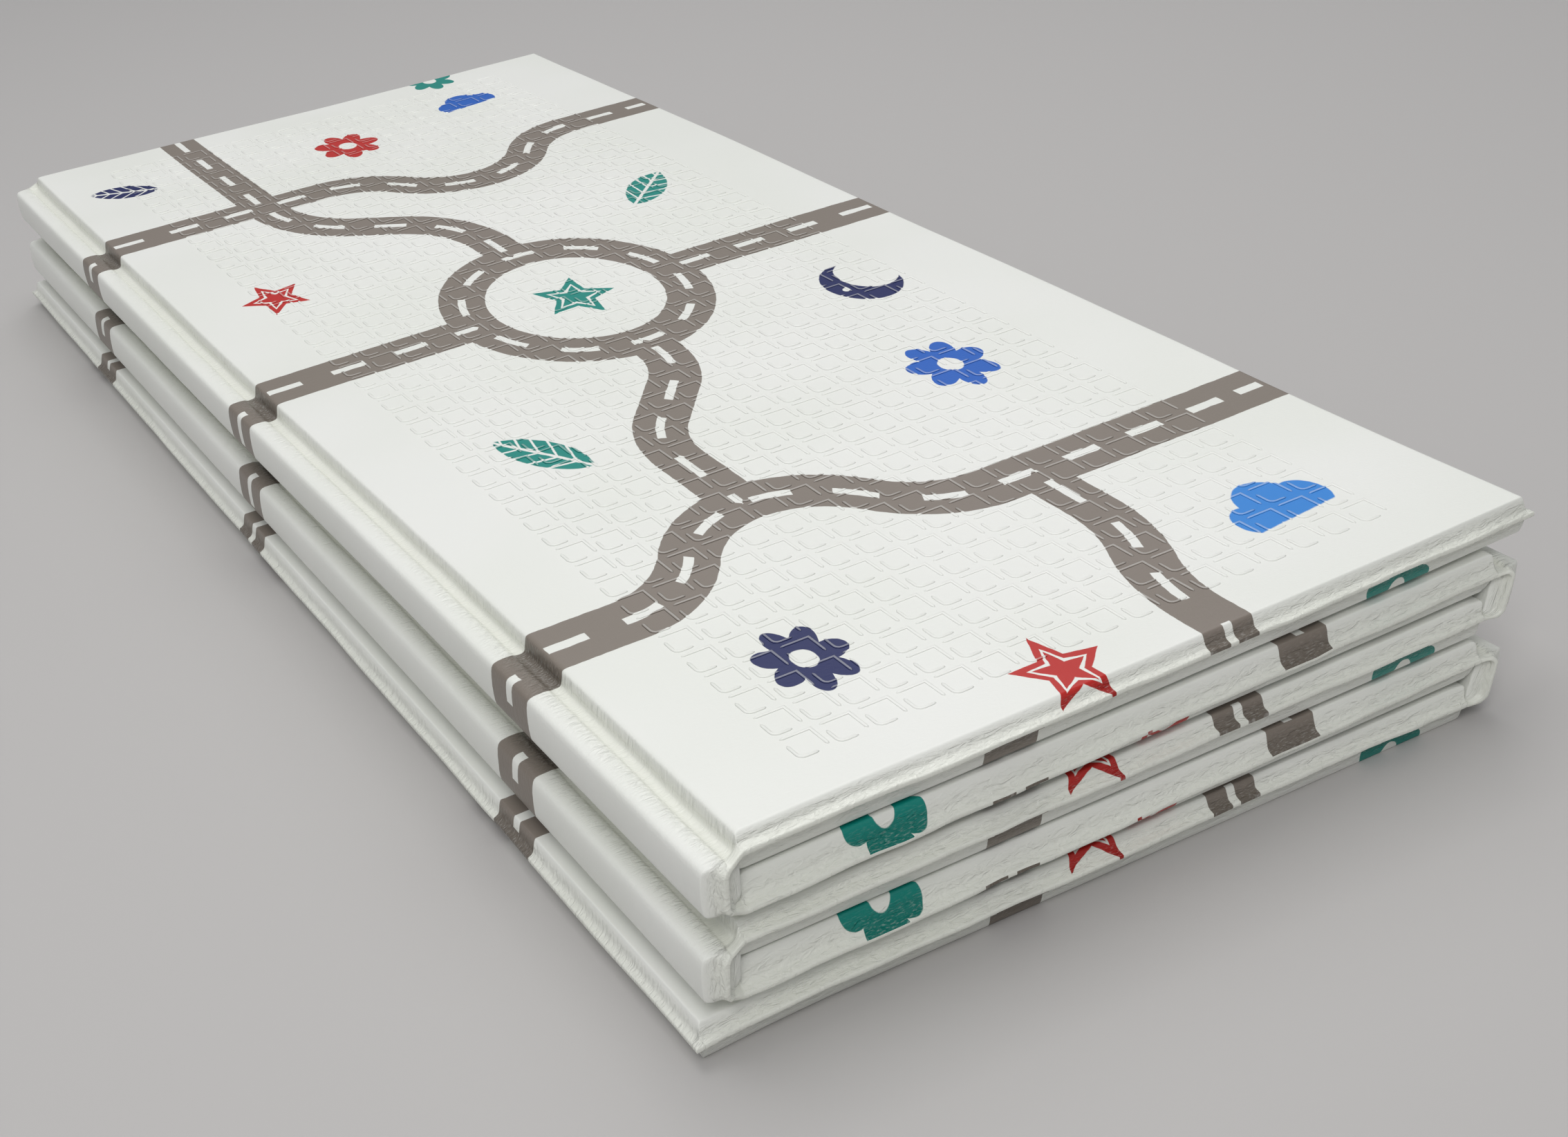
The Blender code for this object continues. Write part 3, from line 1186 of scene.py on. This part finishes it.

# %% [markdown]
# ## The film
# The film is thin, satin and slightly milky. Where it is pressed it puckers into
# fine creases and shines more. There its colour also gets a painted greenish shade,
# its ink is darkened with painted shade, and its ink gets pale streaks that are partly
# worn ink and partly painted glints, so all of these depend on the mat's own pressed
# value. On the embossed ridges a painted highlight pales the ink along the crest and a
# painted shadow darkens the foot, which the grid's own raised value tells.

# %% Creases, and the two finishes
def noise_of(tree, place, scale, detail, distortion=0.0):
    """A noise texture's value."""
    made = make(tree, "ShaderNodeTexNoise", place)
    made.inputs["Scale"].default_value = scale
    made.inputs["Detail"].default_value = detail
    made.inputs["Distortion"].default_value = distortion
    return made.outputs[0]


def crease_group():
    """Height of the film's fine creases, from a place and how hard it is pressed."""
    tree, given, result = shader_group(
        "film_creases",
        [("Place", "vector"), ("Film place", "vector"), ("Pressed", "value")],
        [("Height", "value"), ("Streaks", "value")])
    grain = noise_of(tree, given["Place"], 700.0, 2.0)
    drawn = aim(tree, "MULTIPLY", given["Film place"], (150.0, 480.0, 1.0))
    crinkle = noise_of(tree, drawn, 1.0, 3.0, 0.5)
    ridge = calc(tree, "ABSOLUTE", calc(tree, "SUBTRACT", crinkle, 0.5))
    sharp = calc(tree, "SUBTRACT", 1.0, calc(tree, "MULTIPLY", ridge, 5.0))
    slack = calc(tree, "MULTIPLY", ramp(tree, given["Pressed"], 0.0, 0.5),
                 ramp(tree, given["Pressed"], 1.0, 0.8, 0.3, 1.0))
    share = calc(tree, "MULTIPLY_ADD", slack, 0.94, 0.06)
    high = calc(tree, "MULTIPLY", sharp, share)
    feed(tree, result["Height"], calc(tree, "MULTIPLY_ADD", grain, 0.10, high))
    # Pale streaks where the film is pressed: partly worn ink, partly painted glints of its
    # crinkles.
    fine = aim(tree, "MULTIPLY", given["Film place"], (420.0, 1900.0, 1.0))
    brushed = ramp(tree, noise_of(tree, fine, 1.0, 2.0), 0.50, 0.72)
    feed(tree, result["Streaks"], calc(tree, "MULTIPLY", brushed, given["Pressed"]))
    return tree


CREASES = crease_group()
CREASE_DEPTH = 0.00036
FILM_SATIN = 0.36           # roughness of the plain film
PRESSED_SHINE = 0.15        # how much less rough it is where it is pressed
CREST_HIGHLIGHT = 0.29           # share of the ink that a painted highlight pales along a ridge's crest
# Pale streaks in pressed ink, partly worn ink and partly painted glints.
STREAK_WEAR_AND_GLINT = 0.26
PRESSED_SHADE_DEPTH = 0.5         # how far painted shade darkens ink where it is pressed, on bevels and in grooves
# A painted greenish shade, laid on the film where it is pressed into grooves and bevels.
PRESSED_SHADE_TINT = ink(243, 244, 234)
# Colour of the painted shade on pressed ink and at the ridges' feet.
SHADE_INK = ink(150, 148, 145)


def bumped(tree, height, depth):
    """A normal from a height, which is worth depth metres."""
    bump = tree.nodes.new("ShaderNodeBump")
    bump.inputs["Strength"].default_value = 1.0
    bump.inputs["Distance"].default_value = depth
    feed(tree, bump.inputs["Height"], height)
    return bump.outputs["Normal"]


def dress_film(material):
    material.use_nodes = True
    tree = material.node_tree
    shader = tree.nodes["Principled BSDF"]
    mapped = make(tree, "ShaderNodeUVMap", uv_map="print").outputs["UV"]
    place = make(tree, "ShaderNodeTexCoord").outputs["Object"]
    pressed = make(tree, "ShaderNodeAttribute", attribute_name="pressed").outputs["Fac"]
    raised = make(tree, "ShaderNodeAttribute", attribute_name="raised").outputs["Fac"]
    printed = use(tree, PRINT, Place=mapped)
    creased = use(tree, CREASES, Place=place, Film_place=mapped, Pressed=pressed)
    tone = ramp(tree, noise_of(tree, place, 9.0, 1.0), 0.3, 0.7)
    tint = blend(tree, tone, ink(251, 252, 249), ink(255, 255, 254))
    # Painted greenish shade where the film is pressed.
    greenish_shade = blend(tree, calc(tree, "MULTIPLY", pressed, 0.55), tint, PRESSED_SHADE_TINT)
    toned = blend(tree, 1.0, printed["Color"], greenish_shade, "MULTIPLY")
    # Painted shade: ink darkened where the film is pressed, on the bevels and in the grooves.
    pressed_ink_shade = calc(tree, "MULTIPLY", calc(tree, "MULTIPLY", pressed, printed["Ink"]), PRESSED_SHADE_DEPTH)
    toned = blend(tree, pressed_ink_shade, toned, SHADE_INK, "MULTIPLY")
    # Painted highlight: ink paled along each ridge's crest.
    crest_highlight = ramp(tree, raised, 0.55, 0.95)
    # Painted shadow: darkened at each ridge's foot, mostly on ink and a little on the white
    # film.
    foot = calc(tree, "MULTIPLY", ramp(tree, raised, 0.1, 0.2), ramp(tree, raised, 0.6, 0.4))
    foot = calc(tree, "MULTIPLY", foot, calc(tree, "MULTIPLY_ADD", printed["Ink"], 0.6, 0.18))
    toned = blend(tree, foot, toned, SHADE_INK, "MULTIPLY")
    # Pale streaks: partly worn ink, partly painted glints.
    streaks = calc(tree, "MULTIPLY", creased["Streaks"], STREAK_WEAR_AND_GLINT)
    paled_share = calc(tree, "MULTIPLY_ADD", crest_highlight, CREST_HIGHLIGHT, streaks)
    paled_ink = calc(tree, "MULTIPLY", paled_share, printed["Ink"])
    feed(tree, shader.inputs["Base Color"], blend(tree, paled_ink, toned, FILM))
    satin = calc(tree, "MULTIPLY_ADD", pressed, -PRESSED_SHINE, FILM_SATIN)
    rough = calc(tree, "MULTIPLY_ADD", creased["Height"], 0.08, satin)
    feed(tree, shader.inputs["Roughness"], rough)
    feed(tree, shader.inputs["Normal"], bumped(tree, creased["Height"], CREASE_DEPTH))
    shader.inputs["IOR"].default_value = 1.42


def dress_core(material):
    """Bare foam at the cut rim: matt, with its cells just showing."""
    material.use_nodes = True
    tree = material.node_tree
    shader = tree.nodes["Principled BSDF"]
    place = make(tree, "ShaderNodeTexCoord").outputs["Object"]
    cells = make(tree, "ShaderNodeTexVoronoi", place)
    cells.inputs["Scale"].default_value = 1400.0
    creased = use(tree, CREASES, Place=place, Film_place=place, Pressed=1.0)
    share = ramp(tree, cells.outputs["Distance"], 0.2, 0.8)
    feed(tree, shader.inputs["Base Color"],
         blend(tree, share, ink(226, 228, 216), ink(240, 241, 233)))
    feed(tree, shader.inputs["Roughness"],
         calc(tree, "MULTIPLY_ADD", cells.outputs["Distance"], 0.2, 0.7))
    height = calc(tree, "ADD", creased["Height"], cells.outputs["Distance"])
    feed(tree, shader.inputs["Normal"], bumped(tree, height, 0.0002))


dress_film(film_finish)
dress_core(core_finish)
mat.data.materials.clear()
mat.data.materials.append(film_finish)
mat.data.materials.append(core_finish)

# %% [markdown]
# ## Where the pieces ride
# Both pieces ride on the only body, and the CAD part is hidden. The mat is folded
# sheet goods: the flat size is what it opens out to.

# %% Tell the frame about the pieces
for piece in (mat, emboss):
    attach(piece, "root")
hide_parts("folding_mat")

# %% [markdown]
# ## Floor, light and camera
# A plain pale floor, soft lights from above and a room that is paler overhead let
# the satin film show its form.
# The camera stands at the near left corner and looks down along the stack.

# %% Floor
def floor_finish():
    material = bpy.data.materials.new("pale_floor")
    material.use_nodes = True
    shader = material.node_tree.nodes["Principled BSDF"]
    shader.inputs["Base Color"].default_value = ink(182, 180, 178)
    shader.inputs["Roughness"].default_value = 0.6
    return material


bpy.ops.mesh.primitive_plane_add(size=14.0, location=(0.0, 0.0, 0.0))
floor = bpy.context.object
floor.name = "floor"
floor.data.materials.append(floor_finish())


# %% Lights
LIGHTS = (
    # name, place, target, size, power, tone
    ("overhead", (0.0, 0.4, 2.4), (0.0, 0.1, 0.0), (1.8, 1.6), 21.0, (1.0, 0.99, 0.98)),
    ("far_window", (1.3, 1.9, 2.6), (0.0, 0.2, 0.0), (2.0, 1.4), 14.0, (1.0, 1.0, 1.0)),
    ("near_window", (-1.6, -2.4, 3.0), (0.0, 0.0, 0.0), (1.6, 1.4), 50.0, (1.0, 0.99, 0.98)),
    ("side", (-2.4, 0.1, 1.4), (0.0, 0.0, 0.0), (1.6, 1.2), 5.0, (0.96, 0.98, 1.0)),
    ("front", (0.5, -2.6, 1.2), (0.0, 0.0, 0.0), (1.8, 1.0), 3.0, (1.0, 0.99, 0.98)),
)
ROOM_RISE = (0.25, 0.95)    # heights in the sky between which the room gets paler
ROOM_LIGHT = (0.20, 0.52)


def area_light(name, place, target, size, power, tone):
    lamp = bpy.data.lights.new(name, "AREA")
    lamp.shape = "RECTANGLE"
    lamp.size, lamp.size_y = size
    lamp.energy = power
    lamp.color = tone
    thing = show(bpy.data.objects.new(name, lamp))
    thing.location = place
    aimed = Vector(target) - Vector(place)
    thing.rotation_euler = aimed.to_track_quat("-Z", "Y").to_euler()


for light in LIGHTS:
    area_light(*light)

world = bpy.data.worlds.new("soft_room")
world.use_nodes = True
sky = world.node_tree
room = sky.nodes["Background"]
height = split(sky, make(sky, "ShaderNodeTexCoord").outputs["Generated"])["Z"]
lift = ramp(sky, height, *ROOM_RISE, *ROOM_LIGHT)
feed(sky, room.inputs["Color"], (0.95, 0.96, 1.0, 1.0))
feed(sky, room.inputs["Strength"], lift)
bpy.context.scene.world = world
bpy.context.scene.view_settings.view_transform = "Standard"
print("lights:", len(LIGHTS))

# %% Camera
CAMERA_PLACE = (-0.46511, -1.07118, 0.54176)
CAMERA_RIGHT = (0.85526631, -0.51189806, -0.08049801)
CAMERA_DOWN = (-0.30519836, -0.37206968, -0.87659461)
CAMERA_AHEAD = (0.41877621, 0.7742897, -0.47444911)


def photo_camera():
    lens = bpy.data.cameras.new("camera")
    lens.sensor_width = 36.0
    lens.lens = 50.61
    lens.clip_start = 0.01
    right, down, ahead = map(Vector, (CAMERA_RIGHT, CAMERA_DOWN, CAMERA_AHEAD))
    turn = Matrix((right, -down, -ahead)).transposed().to_4x4()
    thing = show(bpy.data.objects.new("camera", lens))
    thing.matrix_world = Matrix.Translation(CAMERA_PLACE) @ turn
    return thing


bpy.context.scene.camera = photo_camera()
